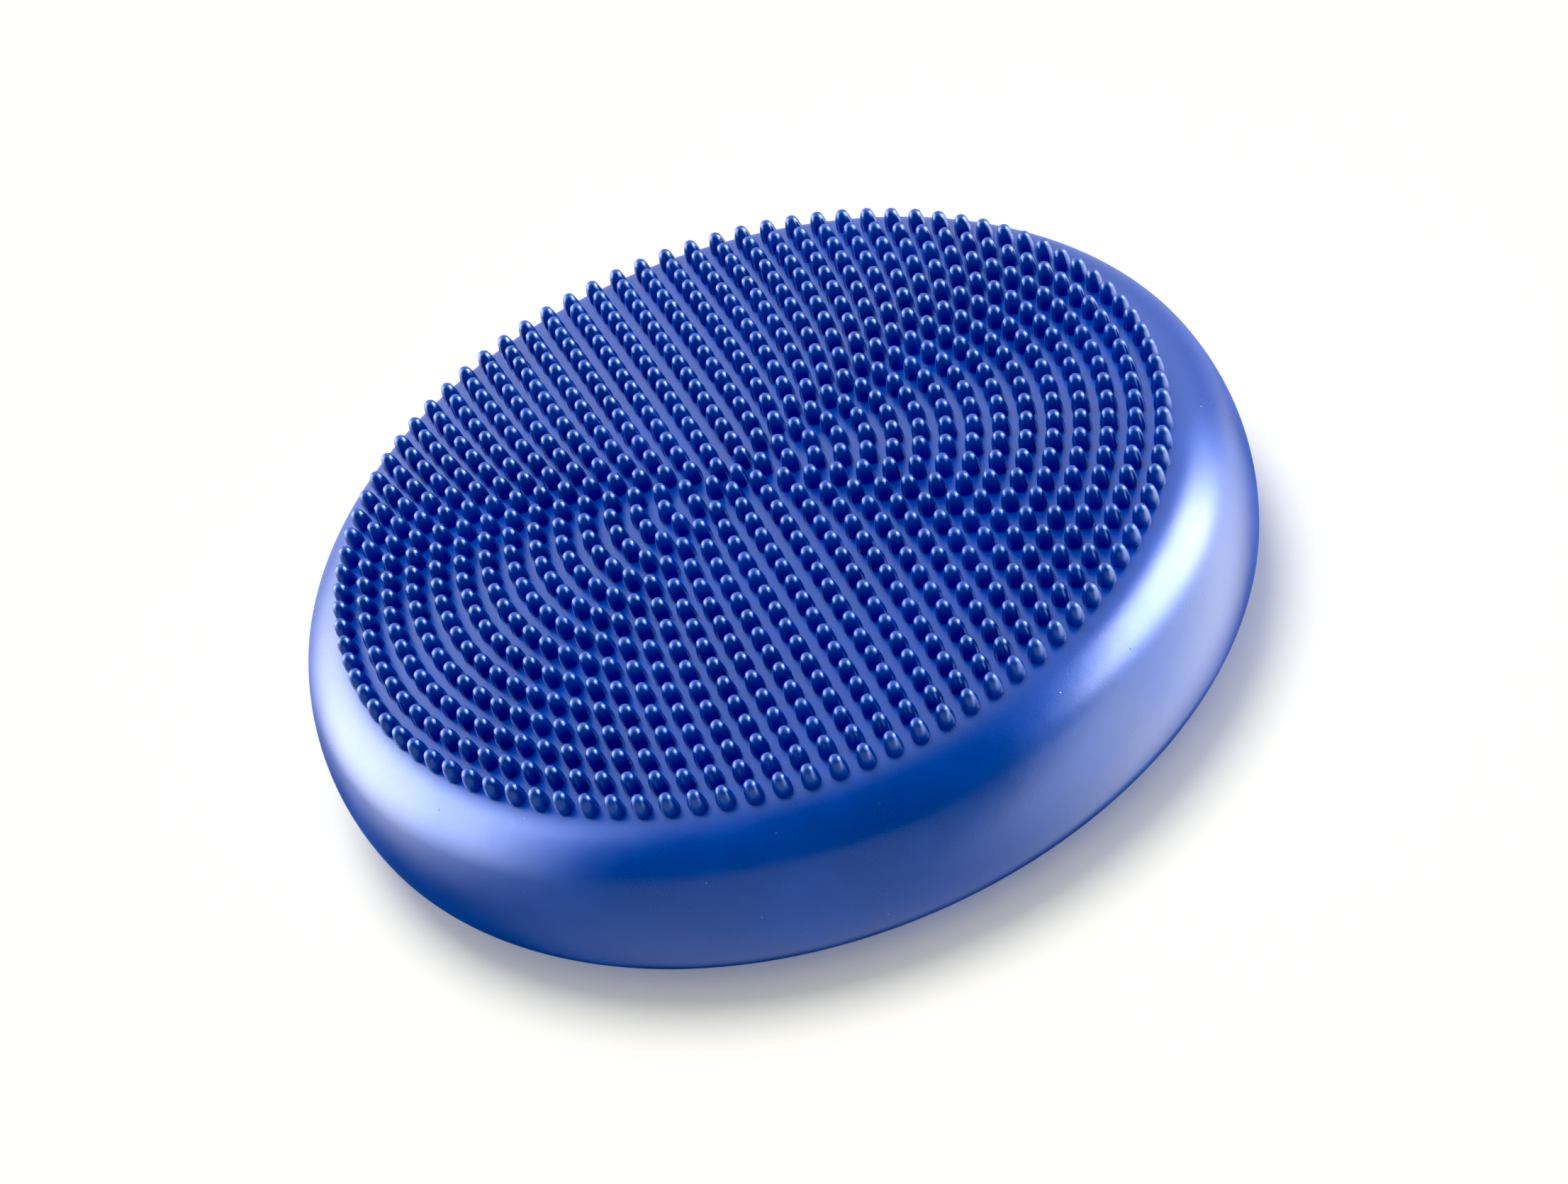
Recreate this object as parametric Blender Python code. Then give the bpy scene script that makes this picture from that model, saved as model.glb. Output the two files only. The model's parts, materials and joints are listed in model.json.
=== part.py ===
"""Inflatable balance cushion: a hollow moulded disc with a field of soft nubs on top and a needle valve in its side.

Frame: origin at the centre of the flat underside, +Z up, metres. The valve looks out level, between -X and +Y.
"""
import math

import bmesh
import bpy
from mathutils import Matrix, Vector

# Cushion skin
OUTER_RADIUS = 0.165
WALL = 0.003
RIM_HEIGHT = 0.0645  # outside of the skin under the outermost ring of nubs
FIELD_DOME = 0.0105  # how far the middle of the nub field stands above its rim
FIELD_RADIUS = 0.1425  # centre line of the outermost ring of nubs
FOOT_RADIUS = 0.100  # flat part of the underside
FOOT_RISE = 0.0024  # the underside lifts this much between the flat part and the lower rounding
FOOT_SLOPE = math.radians(6.0)  # slope of the underside where it meets the lower rounding
BULGE_RADIUS = 0.056  # radius of the bulging side wall, between the shoulder and the lower rounding
BULGE_TOP = math.radians(19.0)  # the wall's outward normal looks up by this angle where the shoulder ends
BULGE_BOTTOM = math.radians(-15.0)
TURN_STEPS = 48

# Nubs: ring i of the field has 6 * i nubs, set half a step off the six spokes
NUB_RINGS = 16
MODELLED_EVERY = 2  # this solid carries every second ring and the middle nub
NUB_HEIGHT = 0.0075
NUB_BASE_RADIUS = 0.0028
NUB_TIP_RADIUS = 0.0018
NUB_SIDES = 4
NUB_ROOT = 0.0008  # depth of a nub's foot in the skin
PATTERN_TURN = math.radians(38.6)

# Valve, measured along its own axis from the widest line of the side wall (negative is inwards)
VALVE_AZIMUTH = math.radians(135.0)
GAP = 0.0003
BOSS_RADIUS = 0.011
BOSS_OUTER_END = -0.0029
BOSS_INNER_END = -0.0150
FLANGE_RADIUS = 0.008
FLANGE_FACE = -0.0005
FLANGE_THICKNESS = 0.0014
SLEEVE_RADIUS = 0.0042
SLEEVE_END = -0.0170
SOCKET_RADIUS = 0.0029
SOCKET_END = -0.0082
CORE_RADIUS = 0.0029
CORE_LENGTH = 0.0070
CORE_CHANNEL_RADIUS = 0.0005
CORE_FUNNEL_RADIUS = 0.0014
CORE_FUNNEL_DEPTH = 0.0015
LIP_RADIUS = 0.0018
STOPPER_HEAD_RADIUS = 0.0055
STOPPER_HEAD_THICKNESS = 0.0016
STOPPER_EDGE = 0.0005
FIN_LENGTH = 0.0084
FIN_WIDTH = 0.0016
FIN_HEIGHT = 0.0024
SMALL_TURN_STEPS = 24

# Colours (linear RGB) and roughness
BLUE_PVC = ((0.006, 0.045, 0.42), 0.32)
BLUE_HARD_PVC = ((0.010, 0.055, 0.46), 0.25)
BLACK_RUBBER = ((0.015, 0.015, 0.017), 0.7)
WHITE_PVC = ((0.75, 0.76, 0.78), 0.35)


def clear_scene():
    for obj in list(bpy.data.objects):
        bpy.data.objects.remove(obj, do_unlink=True)


def material(name, look):
    colour, roughness = look
    mat = bpy.data.materials.new(name)
    mat.use_nodes = True
    shader = mat.node_tree.nodes["Principled BSDF"]
    shader.inputs["Base Color"].default_value = (*colour, 1.0)
    shader.inputs["Roughness"].default_value = roughness
    shader.inputs["Metallic"].default_value = 0.0
    return mat


def add_object(name, bm, mat=None, matrix=None):
    mesh = bpy.data.meshes.new(name)
    bm.to_mesh(mesh)
    bm.free()
    mesh.shade_smooth()
    mesh.set_sharp_from_angle(angle=math.radians(40.0))
    obj = bpy.data.objects.new(name, mesh)
    bpy.context.scene.collection.objects.link(obj)
    if matrix is not None:
        obj.matrix_world = matrix
    if mat is not None:
        mesh.materials.append(mat)
    return obj


def add_cutter(name, bm, matrix=None):
    cutter = add_object(name, bm, matrix=matrix)
    cutter.hide_render = True
    cutter.display_type = "WIRE"
    return cutter


def boolean(obj, cutter, operation):
    modifier = obj.modifiers.new(cutter.name, "BOOLEAN")
    modifier.operation = operation
    modifier.solver = "EXACT"
    modifier.object = cutter


def turned(outline, steps):
    """Closed solid turned about Z from an (r, z) outline. A closed outline off the axis makes a ring."""
    bm = bmesh.new()
    verts = [bm.verts.new((r, 0.0, z)) for r, z in outline]
    edges = [bm.edges.new(pair) for pair in zip(verts, verts[1:])]
    if min(r for r, _ in outline) > 0.0:
        edges.append(bm.edges.new((verts[-1], verts[0])))
    bmesh.ops.spin(
        bm, geom=verts + edges, cent=(0, 0, 0), axis=(0, 0, 1), angle=math.tau, steps=steps, use_merge=True
    )
    bmesh.ops.remove_doubles(bm, verts=bm.verts, dist=1e-6)
    bmesh.ops.recalc_face_normals(bm, faces=bm.faces)
    cap_centres = [
        v for v in bm.verts
        if v.co.xy.length < 1e-6 and all(abs(f.normal.z) > 0.99999 for f in v.link_faces)
    ]
    bmesh.ops.dissolve_verts(bm, verts=cap_centres)
    return bm


def field_height(radius):
    """Outside of the skin over the nub field."""
    return RIM_HEIGHT + FIELD_DOME * (1.0 - (radius / FIELD_RADIUS) ** 2)


def field_slope(radius):
    """Angle of the field's outward normal from +Z."""
    return math.atan(2.0 * FIELD_DOME * radius / FIELD_RADIUS**2)


def arc(centre, radius, start, end, steps):
    """Points of an arc in the (r, z) plane, angles from +r towards +z."""
    angles = [start + (end - start) * i / steps for i in range(steps + 1)]
    return [(centre[0] + radius * math.cos(a), centre[1] + radius * math.sin(a)) for a in angles]


def side_arcs():
    """Shoulder, bulging wall and lower rounding as tangent arcs: (centre, radius, start angle, end angle)."""
    start = math.pi / 2 - field_slope(FIELD_RADIUS)
    end = FOOT_SLOPE - math.pi / 2
    bulge_r = OUTER_RADIUS - BULGE_RADIUS
    shoulder_end = bulge_r + BULGE_RADIUS * math.cos(BULGE_TOP)
    shoulder = (shoulder_end - FIELD_RADIUS) / (math.cos(BULGE_TOP) - math.cos(start))
    shoulder_centre = (FIELD_RADIUS - shoulder * math.cos(start), RIM_HEIGHT - shoulder * math.sin(start))
    bulge_z = shoulder_centre[1] + (shoulder - BULGE_RADIUS) * math.sin(BULGE_TOP)
    rise = bulge_z + BULGE_RADIUS * math.sin(BULGE_BOTTOM) - FOOT_RISE
    rounding = rise / (math.sin(BULGE_BOTTOM) - math.sin(end))
    rounding_centre = (
        bulge_r + (BULGE_RADIUS - rounding) * math.cos(BULGE_BOTTOM),
        bulge_z + (BULGE_RADIUS - rounding) * math.sin(BULGE_BOTTOM),
    )
    return (
        (shoulder_centre, shoulder, start, BULGE_TOP),
        ((bulge_r, bulge_z), BULGE_RADIUS, BULGE_TOP, BULGE_BOTTOM),
        (rounding_centre, rounding, BULGE_BOTTOM, end),
    )


def skin_outline(inset, dome_shares, arc_steps):
    """Turned outline of the skin from the top centre to the bottom centre, moved inwards by inset."""
    outline = [(share * FIELD_RADIUS, field_height(share * FIELD_RADIUS) - inset) for share in dome_shares]
    for (centre, radius, start, end), steps in zip(side_arcs(), arc_steps):
        outline += arc(centre, radius - inset, start, end, steps)[:-1]
    centre, radius, _, end = side_arcs()[-1]
    foot_end = centre[0] + (radius - inset) * math.cos(end)
    outline.append((foot_end, centre[1] + (radius - inset) * math.sin(end)))
    outline += [(FOOT_RADIUS + (foot_end - FOOT_RADIUS) * t, FOOT_RISE * t * t + inset) for t in (0.67, 0.33)]
    return outline + [(FOOT_RADIUS, inset), (0.0, inset)]


def nub_places(ring):
    """Angles and radius of one ring of nubs."""
    if ring == 0:
        return 0.0, [0.0]
    count = 6 * ring
    return FIELD_RADIUS * ring / NUB_RINGS, [PATTERN_TURN + math.tau * (j + 0.5) / count for j in range(count)]


def nub_solids():
    """The modelled nubs as separate tapered pegs, each square to the domed skin under it."""
    bm = bmesh.new()
    for ring in range(0, NUB_RINGS + 1, MODELLED_EVERY):
        radius, angles = nub_places(ring)
        for angle in angles:
            turn = Matrix.Rotation(angle, 4, "Z")
            lean = Matrix.Rotation(field_slope(radius), 4, "Y")
            place = Matrix.Translation((radius, 0.0, field_height(radius)))
            peg = Matrix.Translation((0.0, 0.0, (NUB_HEIGHT - NUB_ROOT) / 2))
            bmesh.ops.create_cone(
                bm, cap_ends=True, segments=NUB_SIDES, radius1=NUB_BASE_RADIUS, radius2=NUB_TIP_RADIUS,
                depth=NUB_HEIGHT + NUB_ROOT, matrix=turn @ place @ lean @ peg,
            )
    return bm


def valve_matrix():
    """Valve frame: its +Z is the valve axis pointing out, its origin is on the widest line of the side wall."""
    height = side_arcs()[1][0][1]
    out = Vector((math.cos(VALVE_AZIMUTH), math.sin(VALVE_AZIMUTH), 0.0))
    half_step = Matrix.Rotation(math.pi / SMALL_TURN_STEPS, 4, "Z")
    turn = Matrix.Rotation(VALVE_AZIMUTH, 4, "Z") @ Matrix.Rotation(math.pi / 2, 4, "Y") @ half_step
    return Matrix.Translation(out * OUTER_RADIUS + Vector((0.0, 0.0, height))) @ turn


def rod(radius, low, high):
    return turned([(0.0, high), (radius, high), (radius, low), (0.0, low)], SMALL_TURN_STEPS)


def make_skin(valve):
    outside = turned(skin_outline(0.0, (0.0, 0.3, 0.6, 0.8), (5, 3, 4)), TURN_STEPS)
    inside = turned(skin_outline(WALL, (0.0, 0.4, 0.75), (3, 2, 3)), TURN_STEPS)
    skin = add_object("cushion_skin", outside, material("blue_pvc", BLUE_PVC))
    boolean(skin, add_cutter("air_space", inside), "DIFFERENCE")
    boolean(skin, add_cutter("valve_boss", rod(BOSS_RADIUS, BOSS_INNER_END, BOSS_OUTER_END), valve), "UNION")
    seat = rod(FLANGE_RADIUS + GAP, FLANGE_FACE - FLANGE_THICKNESS - GAP, WALL)
    boolean(skin, add_cutter("flange_seat", seat, valve), "DIFFERENCE")
    bore = rod(SLEEVE_RADIUS + GAP, BOSS_INNER_END - WALL, WALL)
    boolean(skin, add_cutter("sleeve_bore", bore, valve), "DIFFERENCE")
    boolean(skin, add_cutter("nub_pegs", nub_solids()), "UNION")


def core_ends():
    outer = SOCKET_END - GAP
    return outer, outer - CORE_LENGTH


def make_sleeve(valve):
    """Flanged tube: an outer socket for the stopper, a wider pocket for the core and a lip that holds it in."""
    _, core_inner = core_ends()
    pocket_end = core_inner - GAP
    flange_back = FLANGE_FACE - FLANGE_THICKNESS
    outline = [
        (SOCKET_RADIUS, FLANGE_FACE), (FLANGE_RADIUS, FLANGE_FACE), (FLANGE_RADIUS, flange_back),
        (SLEEVE_RADIUS, flange_back), (SLEEVE_RADIUS, SLEEVE_END), (LIP_RADIUS, SLEEVE_END),
        (LIP_RADIUS, pocket_end), (CORE_RADIUS + GAP, pocket_end), (CORE_RADIUS + GAP, SOCKET_END),
        (SOCKET_RADIUS, SOCKET_END),
    ]
    add_object("valve_sleeve", turned(outline, SMALL_TURN_STEPS), material("blue_hard_pvc", BLUE_HARD_PVC), valve)


def make_core(valve):
    """Rubber core with a funnel that leads the pump needle into a fine channel."""
    outer, inner = core_ends()
    outline = [
        (CORE_FUNNEL_RADIUS, outer), (CORE_RADIUS, outer), (CORE_RADIUS, inner), (CORE_CHANNEL_RADIUS, inner),
        (CORE_CHANNEL_RADIUS, outer - CORE_FUNNEL_DEPTH),
    ]
    add_object("needle_core", turned(outline, SMALL_TURN_STEPS), material("black_rubber", BLACK_RUBBER), valve)


def make_stopper(valve):
    """Stopper with a round head, a grip fin and a tapered shank. Its origin is on its slide axis."""
    seat = FLANGE_FACE + GAP
    top = seat + STOPPER_HEAD_THICKNESS
    shank = SOCKET_RADIUS - GAP
    outline = [
        (0.0, top), (STOPPER_HEAD_RADIUS - STOPPER_EDGE, top), (STOPPER_HEAD_RADIUS, top - STOPPER_EDGE),
        (STOPPER_HEAD_RADIUS, seat), (shank, seat), (shank, SOCKET_END + 4 * GAP),
        (shank - 2 * GAP, SOCKET_END + GAP), (0.0, SOCKET_END + GAP),
    ]
    stopper = add_object(
        "valve_stopper", turned(outline, SMALL_TURN_STEPS), material("white_pvc", WHITE_PVC), valve
    )
    fin = bmesh.new()
    size = Matrix.Diagonal((FIN_WIDTH, FIN_LENGTH, FIN_HEIGHT + STOPPER_EDGE, 1.0))
    place = Matrix.Translation((0.0, 0.0, top + (FIN_HEIGHT - STOPPER_EDGE) / 2))
    bmesh.ops.create_cube(fin, size=1.0, matrix=place @ size)
    top_corners = [e for e in fin.edges if abs(e.verts[0].co.z - e.verts[1].co.z) > STOPPER_EDGE]
    bmesh.ops.bevel(
        fin, geom=top_corners, offset=0.45 * FIN_WIDTH, segments=3, profile=0.5, affect="EDGES", material=-1
    )
    boolean(stopper, add_cutter("grip_fin", fin, valve), "UNION")


def main():
    clear_scene()
    valve = valve_matrix()
    make_skin(valve)
    make_sleeve(valve)
    make_core(valve)
    make_stopper(valve)


if __name__ == "__main__":
    main()
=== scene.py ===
"""Inflatable balance cushion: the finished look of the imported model, laid out as a Blender add-on.

Frame: origin at the centre of the flat underside, +Z up, metres. The valve looks out level, half way between
-X and +Y.
"""
import json
import math

import bmesh
import bpy
from bpy.props import FloatProperty, FloatVectorProperty, IntProperty, PointerProperty
from mathutils import Matrix, Vector


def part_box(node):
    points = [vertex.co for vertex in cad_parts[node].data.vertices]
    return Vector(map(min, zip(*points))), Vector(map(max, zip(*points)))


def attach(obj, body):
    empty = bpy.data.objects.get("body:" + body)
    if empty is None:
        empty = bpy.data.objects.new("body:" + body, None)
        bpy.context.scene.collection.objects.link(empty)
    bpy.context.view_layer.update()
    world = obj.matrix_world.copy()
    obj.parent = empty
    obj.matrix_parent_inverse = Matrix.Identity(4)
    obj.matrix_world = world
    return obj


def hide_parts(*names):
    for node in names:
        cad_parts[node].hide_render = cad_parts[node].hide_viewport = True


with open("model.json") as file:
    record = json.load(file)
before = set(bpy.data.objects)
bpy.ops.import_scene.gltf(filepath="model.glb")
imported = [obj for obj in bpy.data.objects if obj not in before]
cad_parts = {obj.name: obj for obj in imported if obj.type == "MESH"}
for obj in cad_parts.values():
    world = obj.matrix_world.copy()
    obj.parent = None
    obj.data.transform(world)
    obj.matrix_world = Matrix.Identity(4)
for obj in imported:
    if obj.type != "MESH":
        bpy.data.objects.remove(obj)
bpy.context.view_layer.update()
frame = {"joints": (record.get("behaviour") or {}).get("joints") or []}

bl_info = {
    "name": "Balance Cushion",
    "version": (1, 0, 0),
    "blender": (4, 5, 0),
    "location": "View3D > Sidebar > Balance Cushion",
    "description": "Makes an inflatable balance cushion with a nubbed top and a needle valve",
    "category": "Add Mesh",
}

SKIN_LOW, SKIN_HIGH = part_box("cushion_skin")
SLEEVE_LOW, SLEEVE_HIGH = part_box("valve_sleeve")
VALVE_AXIS = Vector(frame["joints"][0]["axis"]).normalized()
VALVE_HEIGHT = (SLEEVE_LOW.z + SLEEVE_HIGH.z) / 2
FACETS = 192  # facets round the outside of the cushion
FEWER_FACETS = 64  # facets round its inside and round the valve's parts
CREASE = math.radians(40.0)  # edges that bend by more stay sharp
CORNER = math.radians(60.0)  # edges that bend by more are rounded
SUNK = 0.0006  # how far a nub's foot reaches into the skin
WELD = 2e-6  # points closer than this are merged where an outline meets the axis


def length(name, default, description, low=0.0, high=1.0):
    return FloatProperty(
        name=name, default=default, description=description, min=low, max=high,
        subtype="DISTANCE", unit="LENGTH", precision=5,
    )


def angle(name, degrees, description):
    return FloatProperty(
        name=name, default=math.radians(degrees), description=description, subtype="ANGLE"
    )


def count(name, default, description, high):
    return IntProperty(name=name, default=default, description=description, min=1, max=high)


def colour(name, default, description):
    return FloatVectorProperty(
        name=name, default=default, description=description, size=3, min=0.0, max=1.0, subtype="COLOR"
    )


def share(name, default, description, high=1.0):
    return FloatProperty(
        name=name, default=default, description=description, min=0.0, max=high, subtype="FACTOR"
    )


class CushionSizes(bpy.types.PropertyGroup):
    """Sizes of the moulded cushion."""

    outer_radius: length("Outer radius", SKIN_HIGH.x, "From the middle of the cushion to its widest line")
    wall: length("Wall", 0.003, "Thickness of the moulded skin")
    rim_height: length("Rim height", 0.0645, "Height of the skin under the outermost ring of nubs")
    dome: length("Dome", 0.0105, "How far the middle of the nub field stands above its rim")
    field_radius: length("Nub field radius", 0.1425, "Centre line of the outermost ring of nubs")
    foot_radius: length("Foot radius", 0.100, "Outer edge of the flat ring that the cushion rests on")
    foot_width: length("Foot width", 0.009, "Width of the flat ring that the cushion rests on")
    foot_rise: length("Foot rise", 0.0024, "Lift of the underside between the foot and the lower rounding")
    foot_slope: angle("Foot slope", 6.0, "Slope of the underside where it meets the lower rounding")
    bulge: length("Wall bulge", 0.056, "Radius of the bulging side wall between shoulder and lower rounding")
    bulge_top: angle("Bulge top", 19.0, "Upward lean of the wall's normal where the shoulder ends")
    bulge_bottom: angle("Bulge bottom", -15.0, "Lean of the wall's normal where the lower rounding begins")
    nub_rings: count("Nub rings", 16, "Rings of nubs round the middle one", 30)
    nub_height: length("Nub height", 0.0075, "Height of a nub above the skin")
    nub_root: length("Nub root radius", 0.0032, "Radius of a nub where it stands on the skin")
    nub_tip: length("Nub tip radius", 0.0023, "Radius of a nub under its rounded tip")
    pattern_turn: angle("Pattern turn", 38.6, "Turn of the nub pattern about the middle")
    pip_rings: count("Pip rings", 7, "Rings of low pips on the underside", 20)
    pip_pitch: length("Pip pitch", 0.0118, "Distance between rings of pips")
    pip_radius: length("Pip radius", 0.0026, "Radius of a pip on the underside")
    recess: length("Underside recess", 0.0012, "Depth of the underside within the foot ring")


class ValveSizes(bpy.types.PropertyGroup):
    """Sizes of the needle valve, along its axis from the widest line of the side wall, negative inwards."""

    gap: length("Gap", 0.0003, "Clearance between the valve's parts")
    boss_radius: length("Boss radius", 0.011, "Radius of the thick skin round the valve")
    boss_inner: length("Boss inner end", -0.0150, "Inner end of the thick skin round the valve", low=-1.0)
    flange_radius: length("Flange radius", 0.008, "Radius of the sleeve's flange")
    flange_face: length("Flange face", -0.0005, "Outer face of the sleeve's flange", low=-1.0)
    flange_thickness: length("Flange thickness", 0.0014, "Thickness of the sleeve's flange")
    sleeve_radius: length("Sleeve radius", 0.0042, "Radius of the sleeve's tube")
    sleeve_end: length("Sleeve end", -0.0170, "Inner end of the sleeve", low=-1.0)
    socket_radius: length("Socket radius", 0.0029, "Radius of the socket that takes the stopper")
    socket_end: length("Socket end", -0.0082, "Inner end of the socket", low=-1.0)
    core_length: length("Core length", 0.0070, "Length of the rubber core")
    channel_radius: length("Channel radius", 0.0005, "Radius of the pump needle's channel")
    funnel_radius: length("Funnel radius", 0.0014, "Radius of the funnel that leads to the channel")
    funnel_depth: length("Funnel depth", 0.0015, "Depth of the funnel")
    lip_radius: length("Lip radius", 0.0018, "Radius of the opening behind the core")
    head_radius: length("Stopper head radius", 0.0055, "Radius of the stopper's head")
    head_thickness: length("Stopper head thickness", 0.0016, "Thickness of the stopper's head")
    fin_length: length("Grip length", 0.0084, "Length of the stopper's grip fin")
    fin_width: length("Grip width", 0.0016, "Thickness of the stopper's grip fin")
    fin_height: length("Grip height", 0.0024, "Height of the stopper's grip fin above its head")
    rounding: length("Rounding", 0.0003, "Rounding of the small moulded edges")


class CushionFinish(bpy.types.PropertyGroup):
    """Colours and surface of the finishes."""

    skin_blue: colour("Skin blue", (0.006, 0.055, 0.36), "Colour of the moulded skin")
    skin_deep_blue: colour("Skin deep blue", (0.004, 0.044, 0.30), "Colour of the skin's darker clouds")
    skin_sheen: colour("Skin gloss tint", (0.80, 0.90, 1.0), "Tint of the skin's gloss")
    valve_blue: colour("Valve blue", (0.008, 0.05, 0.44), "Colour of the valve's sleeve")
    stopper_white: colour("Stopper white", (0.72, 0.73, 0.74), "Colour of the stopper")
    core_black: colour("Core black", (0.014, 0.014, 0.016), "Colour of the rubber core")
    skin_roughness: share("Skin roughness", 0.30, "Roughness of the moulded skin")
    grain_depth: length("Grain depth", 0.00003, "Depth of the skin's fine grain")
    wear: share("Wear", 0.25, "How far handling has dulled the tips of the nubs")


class StageSettings(bpy.types.PropertyGroup):
    """Floor, studio light and camera."""

    floor_radius: length("Floor radius", 6.0, "Radius of the floor", high=50.0)
    floor_colour: colour("Floor", (0.93, 0.92, 0.80), "Colour of the floor")
    floor_glow: share("Floor glow", 0.10, "Light that the floor gives off, so that it stays white")
    soft_light: share("Soft light", 0.50, "Brightness of the even light round the cushion", high=5.0)
    key_light: share("Key light", 1.9, "Strength of the broad light from behind", high=10.0)
    key_spread: angle("Key light spread", 32.0, "Width of the broad light, seen from the cushion")
    backdrop: share("Backdrop", 2.4, "Brightness of the white backdrop in the gloss of the skin", high=10.0)
    right_box: share("Right soft box", 30.0, "Brightness of the right soft box in the gloss", high=50.0)
    left_box: share("Left soft box", 16.0, "Brightness of the left soft box in the gloss", high=50.0)
    black_level: colour("Black level", (0.016, 0.014, 0.035), "Light that the picture shows as black")
    elevation: angle("Camera elevation", 39.3, "Angle of the camera above the floor")
    azimuth: angle("Camera azimuth", 0.94, "Turn of the camera about the cushion's axis from the front")
    roll: angle("Camera roll", 21.4, "Turn of the camera about its own axis")
    distance: length("Camera distance", 1.8302, "From the camera to the point it looks at", high=20.0)
    aim_front: length("Aim in front", 0.0715, "How far in front of the middle the camera looks")
    aim_height: length("Aim height", 0.0825, "Height of the point that the camera looks at")
    lens: FloatProperty(
        name="Lens", default=130.2, min=10.0, description="Focal length on a 36 mm sensor", unit="CAMERA"
    )


# Shapes


def drawn_arc(bm, point, centre, sweep, steps):
    """Draws an arc in the XZ plane from a point round a centre (x, z), +Z towards +X. Returns its end."""
    made = bmesh.ops.spin(
        bm, geom=[point], cent=(centre[0], 0.0, centre[1]), axis=(0, 1, 0), angle=sweep, steps=steps
    )
    return next(part for part in made["geom_last"] if isinstance(part, bmesh.types.BMVert))


def drawn_line(bm, point, x, z):
    """Draws a straight line in the XZ plane from a point and returns its end."""
    end = bm.verts.new((x, 0.0, z))
    bm.edges.new((point, end))
    return end


def turn_outline(bm, steps):
    """Spins the drawn outline a full turn about Z and closes its poles."""
    bmesh.ops.spin(
        bm, geom=bm.verts[:] + bm.edges[:], cent=(0, 0, 0), axis=(0, 0, 1), angle=math.tau, steps=steps,
        use_merge=True,
    )
    bmesh.ops.remove_doubles(bm, verts=bm.verts, dist=WELD)
    bmesh.ops.recalc_face_normals(bm, faces=bm.faces)
    return bm


def turned(outline, steps):
    """Closed solid turned about Z from (r, z) points. Points off the axis all the way make a ring."""
    bm = bmesh.new()
    first = end = bm.verts.new((outline[0][0], 0.0, outline[0][1]))
    for r, z in outline[1:]:
        end = drawn_line(bm, end, r, z)
    if min(r for r, _ in outline) > 0.0:
        bm.edges.new((end, first))
    return turn_outline(bm, steps)


def round_edges(bm, offset, segments=2):
    """Rounds every corner edge."""
    sharp = [e for e in bm.edges if e.is_manifold and e.calc_face_angle(0.0) > CORNER]
    bmesh.ops.bevel(
        bm, geom=sharp, offset=offset, segments=segments, profile=0.5, affect="EDGES", material=-1,
        clamp_overlap=True,
    )
    return bm


def saved(bm, name):
    """Moves a bmesh into a mesh of its own."""
    mesh = bpy.data.meshes.new(name)
    bm.to_mesh(mesh)
    bm.free()
    return mesh


def shade(mesh):
    """Shades a mesh smooth between its creases."""
    mesh.shade_smooth()
    mesh.set_sharp_from_angle(angle=CREASE)


def mesh_piece(name, bm, finish):
    """A new object in the scene with one finish."""
    mesh = saved(bm, name)
    mesh.materials.append(finish)
    shade(mesh)
    piece = bpy.data.objects.new(name, mesh)
    bpy.context.scene.collection.objects.link(piece)
    return piece


def cut_and_join(piece, steps):
    """Applies (operation, bmesh) booleans to a piece one after another."""
    for operation, bm in steps:
        tool = bpy.data.objects.new("tool", saved(bm, "tool"))
        bpy.context.scene.collection.objects.link(tool)
        modifier = piece.modifiers.new(operation, "BOOLEAN")
        modifier.operation = operation
        modifier.solver = "EXACT"
        modifier.object = tool
        depsgraph = bpy.context.evaluated_depsgraph_get()
        result = bpy.data.meshes.new_from_object(piece.evaluated_get(depsgraph), depsgraph=depsgraph)
        piece.modifiers.remove(modifier)
        piece.data = result
        bpy.data.objects.remove(tool, do_unlink=True)
    piece.data.name = piece.name


def dome_shape(sizes):
    """Radius of the domed top as part of a ball, height of the ball's centre, and lean of its rim."""
    ball = (sizes.field_radius**2 + sizes.dome**2) / (2.0 * sizes.dome)
    return ball, sizes.rim_height + sizes.dome - ball, math.asin(sizes.field_radius / ball)


def side_arcs(sizes):
    """Centre and radius of shoulder, bulging wall and lower rounding, which run into each other."""
    _, _, lean = dome_shape(sizes)
    top, bottom = sizes.bulge_top, sizes.bulge_bottom
    bulge_r = sizes.outer_radius - sizes.bulge
    shoulder_end = bulge_r + sizes.bulge * math.cos(top)
    shoulder = (shoulder_end - sizes.field_radius) / (math.cos(top) - math.sin(lean))
    shoulder_centre = (
        sizes.field_radius - shoulder * math.sin(lean), sizes.rim_height - shoulder * math.cos(lean)
    )
    bulge_z = shoulder_centre[1] + (shoulder - sizes.bulge) * math.sin(top)
    rise = bulge_z + sizes.bulge * math.sin(bottom) - sizes.foot_rise
    rounding = rise / (math.sin(bottom) + math.cos(sizes.foot_slope))
    step_in = sizes.bulge - rounding
    rounding_centre = (bulge_r + step_in * math.cos(bottom), bulge_z + step_in * math.sin(bottom))
    return (shoulder_centre, shoulder), ((bulge_r, bulge_z), sizes.bulge), (rounding_centre, rounding)


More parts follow.
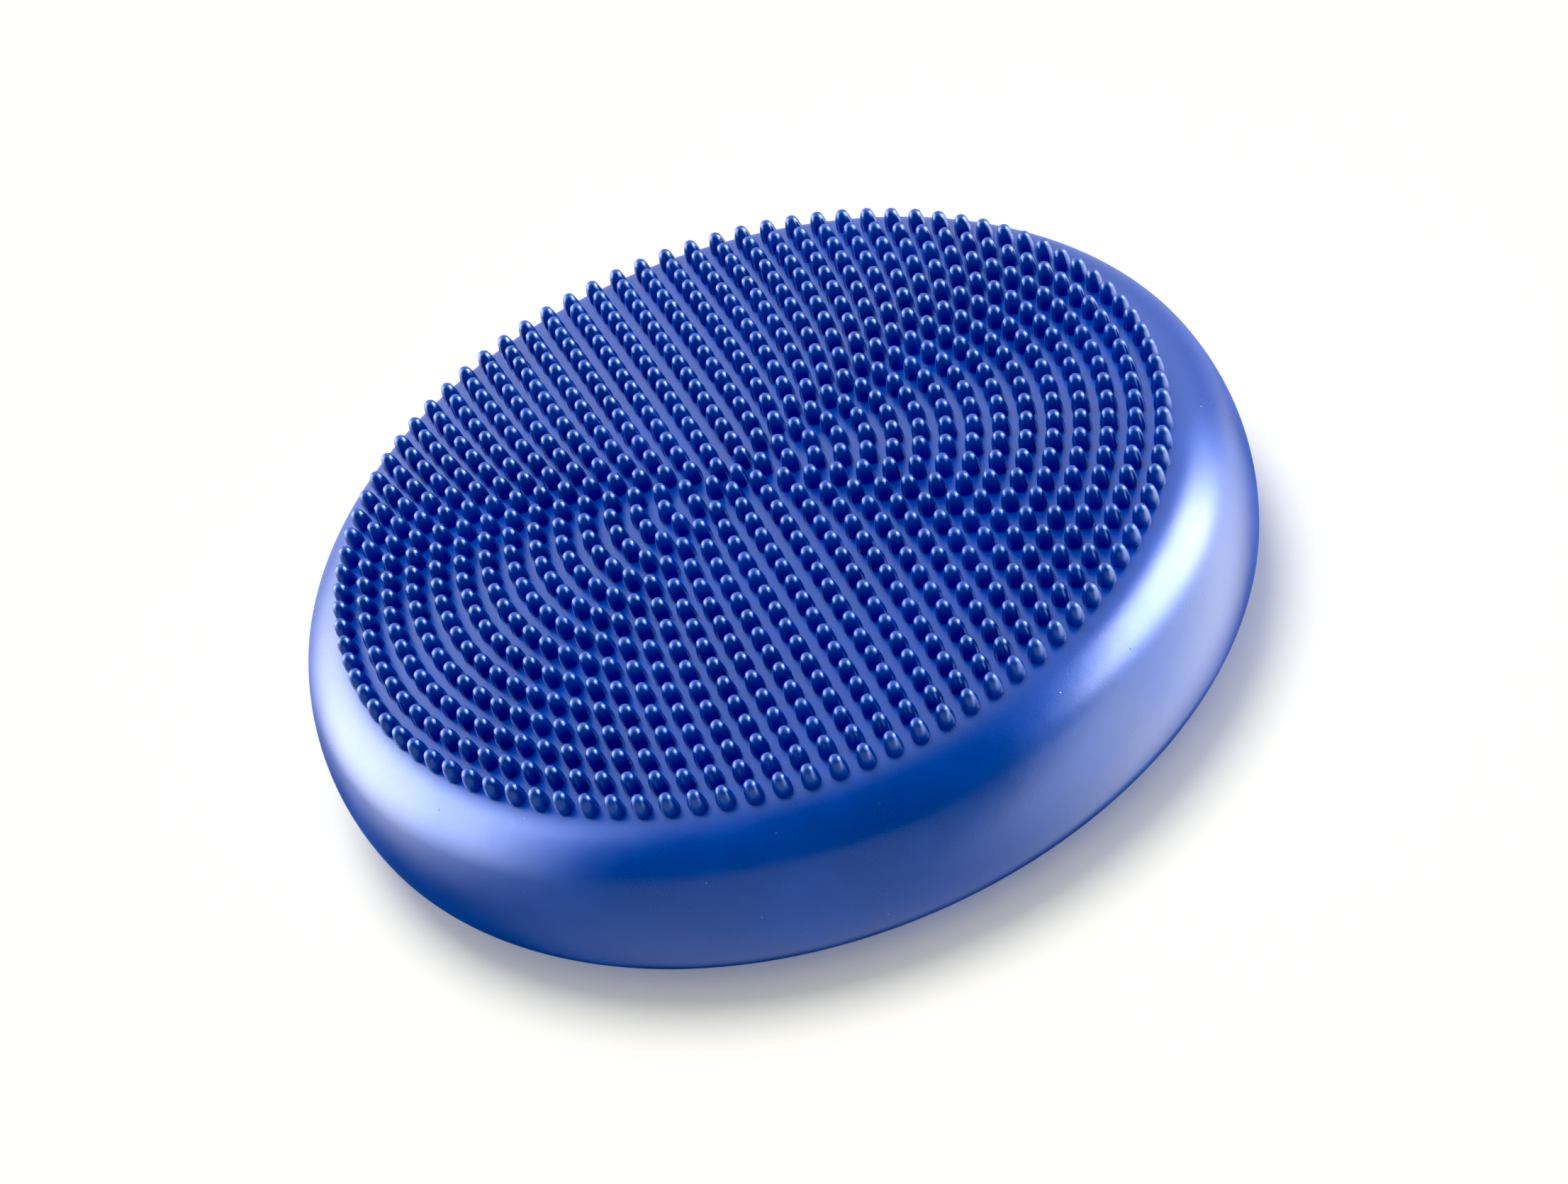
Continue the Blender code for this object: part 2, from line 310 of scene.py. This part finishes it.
def cushion_body(sizes, inset, steps, detail):
    """Dome, bulging side wall and underside as one closed turned shape, moved inwards by inset."""
    ball, ball_centre, lean = dome_shape(sizes)
    top, bottom = sizes.bulge_top, sizes.bulge_bottom
    shoulder, bulge, rounding = (centre for centre, _ in side_arcs(sizes))
    bm = bmesh.new()
    point = bm.verts.new((0.0, 0.0, ball_centre + ball - inset))
    point = drawn_arc(bm, point, (0.0, ball_centre), lean, 2 * detail)
    point = drawn_arc(bm, point, shoulder, math.pi / 2 - lean - top, 2 * detail)
    point = drawn_arc(bm, point, bulge, top - bottom, detail)
    point = drawn_arc(bm, point, rounding, bottom + math.pi / 2 - sizes.foot_slope, 2 * detail)
    run = point.co.x - sizes.foot_radius
    for share_left in (0.75, 0.5, 0.25):
        x = sizes.foot_radius + run * share_left
        point = drawn_line(bm, point, x, inset + sizes.foot_rise * share_left**2)
    point = drawn_line(bm, point, sizes.foot_radius, inset)
    if inset == 0.0:
        inner = sizes.foot_radius - sizes.foot_width
        point = drawn_line(bm, point, inner, 0.0)
        point = drawn_line(bm, point, inner - sizes.recess, sizes.recess)
        inset = sizes.recess
    drawn_line(bm, point, 0.0, inset)
    return turn_outline(bm, steps)


def nub_shape(sizes):
    """One tapered nub with a rounded tip, standing on the origin."""
    height, tip, root = sizes.nub_height, sizes.nub_tip, sizes.nub_root
    crown = [(0.0, 0.0), (0.52, 0.00022), (0.85, 0.0009), (1.06, 0.0022)]  # share of tip radius, drop
    outline = [(share_out * tip, height - drop) for share_out, drop in crown]
    outline += [(0.92 * root, 0.45 * height), (root, 0.15 * height), (0.97 * root, -SUNK), (0.0, -SUNK)]
    return saved(turned(outline, 10), "nub")


def pip_shape(sizes):
    """One low round pip, standing on the origin and pointing down."""
    rise, radius, sunk = sizes.recess, sizes.pip_radius, sizes.recess / 3
    outline = [
        (0.0, -rise), (0.45 * radius, -0.92 * rise), (0.8 * radius, -0.55 * rise), (radius, 0.0),
        (radius, sunk), (0.0, sunk),
    ]
    return saved(turned(outline, 8), "pip")


def ring_angles(ring, turn):
    """Angles of a ring with six places per ring number, set half a step off the six spokes."""
    if ring == 0:
        return [0.0]
    return [turn + math.tau * (place + 0.5) / (6 * ring) for place in range(6 * ring)]


def stand_in_rings(shape, rings, pitch, turn, seat):
    """Copies of a shape in rings; seat gives a copy's place from its distance to the middle."""
    bm = bmesh.new()
    for ring in range(rings + 1):
        for at in ring_angles(ring, turn):
            known = len(bm.verts)
            bm.from_mesh(shape)
            bm.verts.ensure_lookup_table()
            bmesh.ops.transform(
                bm, matrix=Matrix.Rotation(at, 4, "Z") @ seat(ring * pitch), verts=bm.verts[known:]
            )
    bpy.data.meshes.remove(shape)
    return bm


def valve_place(sizes):
    """Frame of the valve: +Z out along its axis, origin on the widest line of the side wall."""
    origin = VALVE_AXIS * sizes.outer_radius + Vector((0.0, 0.0, VALVE_HEIGHT))
    return Matrix.Translation(origin) @ VALVE_AXIS.to_track_quat("Z", "X").to_matrix().to_4x4()


def placed(bm, place):
    """Moves a whole bmesh."""
    bmesh.ops.transform(bm, matrix=place, verts=bm.verts)
    return bm


def rod(radius, low, high):
    """A round rod along Z."""
    return turned([(0.0, high), (radius, high), (radius, low), (0.0, low)], FEWER_FACETS)


# Finishes


class NodeMaker:
    """Adds and links nodes in one node tree."""

    def __init__(self, tree):
        self.tree = tree

    def add(self, kind, **settings):
        node = self.tree.nodes.new(kind)
        for key, value in settings.items():
            setattr(node, key, value)
        return node

    def link(self, source, target):
        self.tree.links.new(source, target)

    def feed(self, socket, value):
        """Links a socket to another one, or sets it to a plain value."""
        if isinstance(value, bpy.types.NodeSocket):
            self.link(value, socket)
        else:
            socket.default_value = value

    def maths(self, operation, first, second=0.0, third=0.0):
        node = self.add("ShaderNodeMath", operation=operation)
        for socket, value in zip(node.inputs, (first, second, third)):
            self.feed(socket, value)
        return node.outputs[0]

    def smooth(self, value, low, high, out_low=0.0, out_high=1.0):
        """Eases from out_low to out_high as a value goes from low to high."""
        node = self.add("ShaderNodeMapRange", interpolation_type="SMOOTHSTEP")
        names = ("Value", "From Min", "From Max", "To Min", "To Max")
        for name, given in zip(names, (value, low, high, out_low, out_high)):
            self.feed(node.inputs[name], given)
        return node.outputs["Result"]

    def blend(self, amount, first, second):
        node = self.add("ShaderNodeMix", data_type="RGBA")
        self.feed(node.inputs["Factor"], amount)
        for socket, value in ((node.inputs["A"], first), (node.inputs["B"], second)):
            self.feed(socket, value if isinstance(value, bpy.types.NodeSocket) else (*value, 1.0))
        return node.outputs["Result"]


class FinishMaker(NodeMaker):
    """Starts a new finish and adds nodes to it, in the piece's own coordinates."""

    def __init__(self, name):
        self.finish = bpy.data.materials.new(name)
        self.finish.use_nodes = True
        super().__init__(self.finish.node_tree)
        self.shader = self.tree.nodes["Principled BSDF"]
        self.place = self.add("ShaderNodeTexCoord").outputs["Object"]

    def noise(self, scale, detail=2.0, roughness=0.5):
        node = self.add("ShaderNodeTexNoise")
        self.link(self.place, node.inputs["Vector"])
        node.inputs["Scale"].default_value = scale
        node.inputs["Detail"].default_value = detail
        node.inputs["Roughness"].default_value = roughness
        return node.outputs["Fac"]

    def bump(self, height, distance, below=None):
        """Raises the surface by a height map, on top of another bump below it."""
        node = self.add("ShaderNodeBump")
        self.link(height, node.inputs["Height"])
        node.inputs["Distance"].default_value = distance
        node.inputs["Strength"].default_value = 1.0
        if below is not None:
            self.link(below, node.inputs["Normal"])
        return node.outputs["Normal"]


def skin_finish(sizes, look):
    """Moulded soft PVC: even blue with faint clouds, fine grain, stray specks and dulled nub tips."""
    make = FinishMaker("moulded_blue_pvc")
    split = make.add("ShaderNodeSeparateXYZ")
    make.link(make.place, split.inputs[0])
    out_x = make.maths("MULTIPLY", split.outputs["X"], split.outputs["X"])
    out_squared = make.maths("MULTIPLY_ADD", split.outputs["Y"], split.outputs["Y"], out_x)
    ball, ball_centre, _ = dome_shape(sizes)
    drop = make.maths("MULTIPLY", out_squared, -0.5 / ball)
    dome_height = make.maths("ADD", drop, ball_centre + ball)
    above_dome = make.maths("SUBTRACT", split.outputs["Z"], dome_height)
    tips = make.smooth(above_dome, 0.78 * sizes.nub_height, sizes.nub_height)
    clouds = make.smooth(make.noise(26.0, 4.0, 0.6), 0.35, 0.7)
    grain = make.noise(1500.0, 3.0, 0.65)
    fine = make.smooth(grain, 0.3, 0.7)
    flecks = make.add("ShaderNodeTexVoronoi", feature="F1")
    make.link(make.place, flecks.inputs["Vector"])
    flecks.inputs["Scale"].default_value = 95.0
    speck = make.smooth(flecks.outputs["Distance"], 0.045, 0.02)
    scuffs = make.smooth(make.noise(180.0, 6.0, 0.7), 0.62, 0.8)

    blue = make.blend(clouds, look.skin_deep_blue, look.skin_blue)
    lighter = tuple(1.22 * part + 0.004 for part in look.skin_blue)
    blue = make.blend(make.maths("MULTIPLY", fine, 0.35), blue, lighter)
    worn = tuple(part * 0.7 + 0.05 for part in look.skin_blue)
    blue = make.blend(make.maths("MULTIPLY", tips, 0.5 * look.wear), blue, worn)
    blue = make.blend(make.maths("MULTIPLY", speck, 0.35), blue, (0.25, 0.32, 0.55))
    make.link(blue, make.shader.inputs["Base Color"])

    dull = make.maths("MULTIPLY_ADD", tips, 0.35 * look.wear, look.skin_roughness - 0.03)
    dull = make.maths("MULTIPLY_ADD", clouds, 0.05, dull)
    dull = make.maths("MULTIPLY_ADD", scuffs, 0.06, dull)
    make.link(make.maths("MULTIPLY_ADD", fine, 0.03, dull), make.shader.inputs["Roughness"])
    make.shader.inputs["IOR"].default_value = 1.5
    make.shader.inputs["Specular Tint"].default_value = (*look.skin_sheen, 1.0)

    normal = make.bump(grain, look.grain_depth)
    normal = make.bump(make.noise(60.0, 2.0), 0.00012, below=normal)
    normal = make.bump(speck, 0.00008, below=normal)
    make.link(normal, make.shader.inputs["Normal"])
    return make.finish


def plain_moulding_finish(name, base, roughness, grain_scale, grain_depth):
    """A small injection-moulded part: slight clouding, uneven gloss and fine texture."""
    make = FinishMaker(name)
    clouds = make.smooth(make.noise(420.0, 4.0, 0.6), 0.3, 0.7)
    darker = tuple(0.82 * part for part in base)
    make.link(make.blend(clouds, darker, base), make.shader.inputs["Base Color"])
    make.link(make.maths("MULTIPLY_ADD", clouds, 0.08, roughness - 0.04), make.shader.inputs["Roughness"])
    make.link(make.bump(make.noise(grain_scale, 3.0, 0.6), grain_depth), make.shader.inputs["Normal"])
    return make.finish


# Operators


class MakeCushion(bpy.types.Operator):
    """Makes the hollow moulded cushion with its nubs, underside and valve seat"""

    bl_idname = "balance_cushion.make_cushion"
    bl_label = "Make Cushion"

    def execute(self, context):
        sizes, valve = context.scene.cushion_sizes, context.scene.valve_sizes
        finish = skin_finish(sizes, context.scene.cushion_finish)
        piece = mesh_piece("cushion_moulding", cushion_body(sizes, 0.0, FACETS, 10), finish)
        seat_floor = valve.flange_face - valve.flange_thickness - valve.gap
        overlap = sizes.wall / 30  # the boss bites this far into the wall
        boss = rod(valve.boss_radius, valve.boss_inner, overlap - sizes.wall)
        flange_seat = rod(valve.flange_radius + valve.gap, seat_floor, sizes.wall)
        port = rod(valve.sleeve_radius + valve.gap, valve.boss_inner - sizes.wall, sizes.wall)
        place = valve_place(sizes)
        cut_and_join(piece, [
            ("DIFFERENCE", cushion_body(sizes, sizes.wall, FEWER_FACETS, 4)),
            ("UNION", placed(boss, place)),
            ("DIFFERENCE", placed(flange_seat, place)),
            ("DIFFERENCE", placed(port, place)),
        ])
        ball, ball_centre, _ = dome_shape(sizes)

        def on_dome(out):
            lean = math.asin(out / ball)
            up = Matrix.Translation((0.0, 0.0, ball_centre))
            return up @ Matrix.Rotation(lean, 4, "Y") @ Matrix.Translation((0.0, 0.0, ball))

        def under(out):
            return Matrix.Translation((out, 0.0, sizes.recess))

        nub_pitch = sizes.field_radius / sizes.nub_rings
        nubs = stand_in_rings(nub_shape(sizes), sizes.nub_rings, nub_pitch, sizes.pattern_turn, on_dome)
        pips = stand_in_rings(pip_shape(sizes), sizes.pip_rings, sizes.pip_pitch, 0.0, under)
        bm = bmesh.new()
        bm.from_mesh(piece.data)
        for rings in (nubs, pips):
            ring_mesh = saved(rings, "rings")
            bm.from_mesh(ring_mesh)
            bpy.data.meshes.remove(ring_mesh)
        bm.to_mesh(piece.data)
        bm.free()
        shade(piece.data)
        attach(piece, "cushion")
        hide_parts("cushion_skin")
        return {"FINISHED"}


class MakeValveSleeve(bpy.types.Operator):
    """Makes the flanged sleeve of the needle valve"""

    bl_idname = "balance_cushion.make_valve_sleeve"
    bl_label = "Make Valve Sleeve"

    def execute(self, context):
        valve, look = context.scene.valve_sizes, context.scene.cushion_finish
        core_inner = valve.socket_end - valve.gap - valve.core_length
        pocket_end = core_inner - valve.gap
        pocket = valve.socket_radius + valve.gap
        back = valve.flange_face - valve.flange_thickness
        bm = turned(
            [
                (valve.socket_radius, valve.flange_face), (valve.flange_radius, valve.flange_face),
                (valve.flange_radius, back), (valve.sleeve_radius, back),
                (valve.sleeve_radius, valve.sleeve_end),
                (valve.lip_radius, valve.sleeve_end), (valve.lip_radius, pocket_end), (pocket, pocket_end),
                (pocket, valve.socket_end), (valve.socket_radius, valve.socket_end),
            ],
            FEWER_FACETS,
        )
        round_edges(bm, 0.6 * valve.gap)
        finish = plain_moulding_finish("valve_blue_pvc", look.valve_blue, 0.26, 2600.0, 0.00001)
        piece = mesh_piece("sleeve_moulding", placed(bm, valve_place(context.scene.cushion_sizes)), finish)
        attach(piece, "cushion")
        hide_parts("valve_sleeve")
        return {"FINISHED"}


class MakeNeedleCore(bpy.types.Operator):
    """Makes the rubber core with its funnel and needle channel"""

    bl_idname = "balance_cushion.make_needle_core"
    bl_label = "Make Needle Core"

    def execute(self, context):
        valve, look = context.scene.valve_sizes, context.scene.cushion_finish
        outer = valve.socket_end - valve.gap
        inner = outer - valve.core_length
        bm = turned(
            [
                (valve.funnel_radius, outer), (valve.socket_radius, outer), (valve.socket_radius, inner),
                (valve.channel_radius, inner), (valve.channel_radius, outer - valve.funnel_depth),
            ],
            48,
        )
        round_edges(bm, 0.5 * valve.gap)
        finish = plain_moulding_finish("black_rubber", look.core_black, 0.62, 3200.0, 0.00002)
        piece = mesh_piece("core_moulding", placed(bm, valve_place(context.scene.cushion_sizes)), finish)
        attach(piece, "cushion")
        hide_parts("needle_core")
        return {"FINISHED"}


class MakeStopper(bpy.types.Operator):
    """Makes the stopper with its round head, grip fin and shank"""

    bl_idname = "balance_cushion.make_stopper"
    bl_label = "Make Stopper"

    def execute(self, context):
        valve, look = context.scene.valve_sizes, context.scene.cushion_finish
        seat = valve.flange_face + valve.gap
        top = seat + valve.head_thickness
        shank = valve.socket_radius - valve.gap
        end = valve.socket_end + valve.gap
        bm = turned(
            [
                (0.0, top), (valve.head_radius, top), (valve.head_radius, seat), (shank, seat),
                (shank, end + 3 * valve.gap), (shank - 2 * valve.gap, end), (0.0, end),
            ],
            FEWER_FACETS,
        )
        round_edges(bm, 1.4 * valve.rounding, 3)
        finish = plain_moulding_finish("white_pvc", look.stopper_white, 0.34, 2200.0, 0.00001)
        place = valve_place(context.scene.cushion_sizes)
        piece = mesh_piece("stopper_moulding", placed(bm, place), finish)
        fin = bmesh.new()
        size = Matrix.Diagonal((valve.fin_width, valve.fin_length, valve.fin_height + valve.rounding, 1.0))
        lift = Matrix.Translation((0.0, 0.0, top + (valve.fin_height - valve.rounding) / 2))
        bmesh.ops.create_cube(fin, size=1.0, matrix=lift @ size)
        uprights = [e for e in fin.edges if abs(e.verts[0].co.z - e.verts[1].co.z) > valve.rounding]
        bmesh.ops.bevel(
            fin, geom=uprights, offset=0.48 * valve.fin_width, segments=4, profile=0.5, affect="EDGES",
            material=-1,
        )
        brow = [e for e in fin.edges if min(v.co.z for v in e.verts) > top + 0.9 * valve.fin_height]
        bmesh.ops.bevel(
            fin, geom=brow, offset=valve.rounding, segments=3, profile=0.5, affect="EDGES", material=-1
        )
        cut_and_join(piece, [("UNION", placed(fin, place))])
        shade(piece.data)
        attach(piece, "stopper")
        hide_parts("valve_stopper")
        return {"FINISHED"}


class SetStage(bpy.types.Operator):
    """Sets the floor, the studio light and the camera"""

    bl_idname = "balance_cushion.set_stage"
    bl_label = "Set Stage"

    def execute(self, context):
        stage = context.scene.cushion_stage
        self.lay_floor(stage)
        turn = Matrix.Rotation(stage.azimuth, 4, "Z")
        pitch = Matrix.Rotation(math.pi / 2 - stage.elevation, 4, "X")
        tilt = turn @ pitch @ Matrix.Rotation(-stage.roll, 4, "Z")
        self.light_studio(context, stage, tilt.to_3x3())
        back = tilt.to_3x3().col[2]
        camera = bpy.data.objects.new("camera", bpy.data.cameras.new("camera"))
        camera.data.lens = stage.lens
        aim = turn @ Vector((0.0, -stage.aim_front, stage.aim_height))
        camera.matrix_world = Matrix.Translation(aim + back * stage.distance) @ tilt
        context.scene.collection.objects.link(camera)
        context.scene.camera = camera
        view = context.scene.view_settings
        view.view_transform = "Standard"
        view.use_curve_mapping = True
        view.curve_mapping.black_level = stage.black_level
        view.curve_mapping.update()
        return {"FINISHED"}

    def lay_floor(self, stage):
        """A round matt floor under the cushion, which the gloss doesn't mirror."""
        bm = bmesh.new()
        bmesh.ops.create_circle(bm, cap_ends=True, segments=96, radius=stage.floor_radius)
        make = FinishMaker("white_floor")
        patches = make.noise(3.0, 3.0)
        make.link(
            make.blend(patches, tuple(0.99 * part for part in stage.floor_colour), stage.floor_colour),
            make.shader.inputs["Base Color"],
        )
        make.shader.inputs["Roughness"].default_value = 1.0
        make.shader.inputs["Specular IOR Level"].default_value = 0.0
        make.shader.inputs["Emission Color"].default_value = (1.0, 1.0, 1.0, 1.0)
        make.shader.inputs["Emission Strength"].default_value = stage.floor_glow
        floor = mesh_piece("floor", bm, make.finish)
        floor.visible_glossy = False

    def light_studio(self, context, stage, tilt):
        """White for the camera, even light for matt surfaces, and soft boxes in a dark room for gloss."""
        world = bpy.data.worlds.new("studio")
        world.use_nodes = True
        world.cycles.sampling_method = "NONE"
        context.scene.world = world
        room = NodeMaker(world.node_tree)
        way = room.add("ShaderNodeTexCoord").outputs["Generated"]
        right, up, back = (tilt.col[i] for i in range(3))
        lift = math.radians(15.0)  # lean of the room's sky from the camera's up towards the camera
        dip = math.radians(35.0)  # fall of the line from the cushion to the lit floor in front
        low_box_share = 0.22  # brightness of the right soft box's lower part
        under_shade = 0.92  # how far the low far side of the room is darkened
        key_from = Vector((-0.05, 0.36, 1.0))  # the key light stands above and a little behind
        sky = math.cos(lift) * up + math.sin(lift) * back
        away = math.sin(lift) * up - math.cos(lift) * back
        front = Vector((back.x, back.y, 0.0)).normalized()
        near_floor = math.cos(dip) * front - Vector((0.0, 0.0, math.sin(dip)))

        def along(axis):
            node = room.add("ShaderNodeVectorMath", operation="DOT_PRODUCT")
            room.link(way, node.inputs[0])
            node.inputs[1].default_value = axis
            return node.outputs["Value"]

        # A direction's rise towards the sky, and its swing from the far side round to the right, in degrees
        rise = room.maths("DEGREES", room.maths("ARCSINE", along(sky)))
        swing = room.maths("DEGREES", room.maths("ARCTAN2", along(right), along(away)))

        height = along((0.0, 0.0, 1.0))

        def window(value, low, low_full, high_full, high):
            """Eases in from low to low_full and out from high_full to high."""
            return room.maths(
                "MULTIPLY", room.smooth(value, low, low_full), room.smooth(value, high_full, high, 1.0, 0.0)
            )

        backdrop = room.smooth(along(away), -0.68, -0.05, 0.015, stage.backdrop)
        backdrop = room.maths("MULTIPLY", backdrop, room.smooth(height, -0.64, -0.38, 0.04, 1.0))
        low_sky = room.smooth(height, 0.0, 0.55, 0.3, 1.0)
        nearer = room.smooth(along(front), 0.2, 0.7, 0.0, 1.0)
        backdrop = room.maths("MULTIPLY", backdrop, room.maths("MAXIMUM", low_sky, nearer))
        ground = room.smooth(rise, -16.0, -27.0, 0.0, 1.1)
        ground = room.maths("MULTIPLY", ground, room.smooth(along(near_floor), 0.1, 0.85, 0.05, 1.0))
        right_box = room.maths(
            "MULTIPLY", window(swing, 60.0, 72.0, 122.0, 136.0), window(rise, 8.0, 36.0, 58.0, 72.0)
        )
        right_low = room.maths(
            "MULTIPLY", window(swing, 30.0, 70.0, 110.0, 138.0), window(rise, -60.0, -10.0, 5.0, 40.0)
        )
        left_box = room.maths(
            "MULTIPLY", window(swing, -122.0, -98.0, -78.0, -30.0), window(rise, -40.0, 8.0, 28.0, 48.0)
        )
        under = room.maths("MULTIPLY", room.smooth(rise, -12.0, -35.0), room.smooth(along(away), 0.35, 0.75))
        light = room.maths("MAXIMUM", backdrop, ground)
        light = room.maths("MULTIPLY_ADD", right_box, stage.right_box, light)
        light = room.maths("MULTIPLY_ADD", right_low, low_box_share * stage.right_box, light)
        light = room.maths("MULTIPLY_ADD", left_box, stage.left_box, light)
        light = room.maths("MULTIPLY", light, room.maths("MULTIPLY_ADD", under, -under_shade, 1.0))

        rays = room.add("ShaderNodeLightPath")
        gloss = room.maths("MULTIPLY", light, rays.outputs["Is Glossy Ray"])
        matt = room.maths("MULTIPLY_ADD", height, 0.15 * stage.soft_light, stage.soft_light)
        matt = room.maths("MULTIPLY", matt, room.maths("SUBTRACT", 1.0, rays.outputs["Is Glossy Ray"]))
        both = room.maths("ADD", gloss, matt)
        seen = room.maths("MAXIMUM", both, rays.outputs["Is Camera Ray"])
        key = bpy.data.objects.new("key_light", bpy.data.lights.new("key_light", "SUN"))
        key.data.energy = stage.key_light
        key.data.angle = stage.key_spread
        key.matrix_world = key_from.to_track_quat("Z", "Y").to_matrix().to_4x4()
        key.visible_glossy = False
        context.scene.collection.objects.link(key)
        background = room.tree.nodes["Background"]
        room.link(seen, background.inputs["Strength"])
        background.inputs["Color"].default_value = (1.0, 1.0, 1.0, 1.0)


class CushionPanel(bpy.types.Panel):
    """Makes the balance cushion piece by piece"""

    bl_idname = "VIEW3D_PT_balance_cushion"
    bl_label = "Balance Cushion"
    bl_space_type = "VIEW_3D"
    bl_region_type = "UI"
    bl_category = "Balance Cushion"

    def draw(self, context):
        scene = context.scene
        for group in (scene.cushion_sizes, scene.valve_sizes, scene.cushion_finish, scene.cushion_stage):
            box = self.layout.box()
            for name in group.__annotations__:
                box.prop(group, name)
        for maker in MAKERS:
            self.layout.operator(maker.bl_idname)


MAKERS = (MakeCushion, MakeValveSleeve, MakeNeedleCore, MakeStopper, SetStage)
GROUPS = {
    "cushion_sizes": CushionSizes, "valve_sizes": ValveSizes, "cushion_finish": CushionFinish,
    "cushion_stage": StageSettings,
}


def register():
    for kind in (*GROUPS.values(), *MAKERS, CushionPanel):
        bpy.utils.register_class(kind)
    for name, group in GROUPS.items():
        setattr(bpy.types.Scene, name, PointerProperty(type=group))


def unregister():
    for name in GROUPS:
        delattr(bpy.types.Scene, name)
    for kind in reversed((*GROUPS.values(), *MAKERS, CushionPanel)):
        bpy.utils.unregister_class(kind)


def main():
    register()
    bpy.ops.balance_cushion.make_cushion()
    bpy.ops.balance_cushion.make_valve_sleeve()
    bpy.ops.balance_cushion.make_needle_core()
    bpy.ops.balance_cushion.make_stopper()
    bpy.ops.balance_cushion.set_stage()


if __name__ == "__main__":
    main()
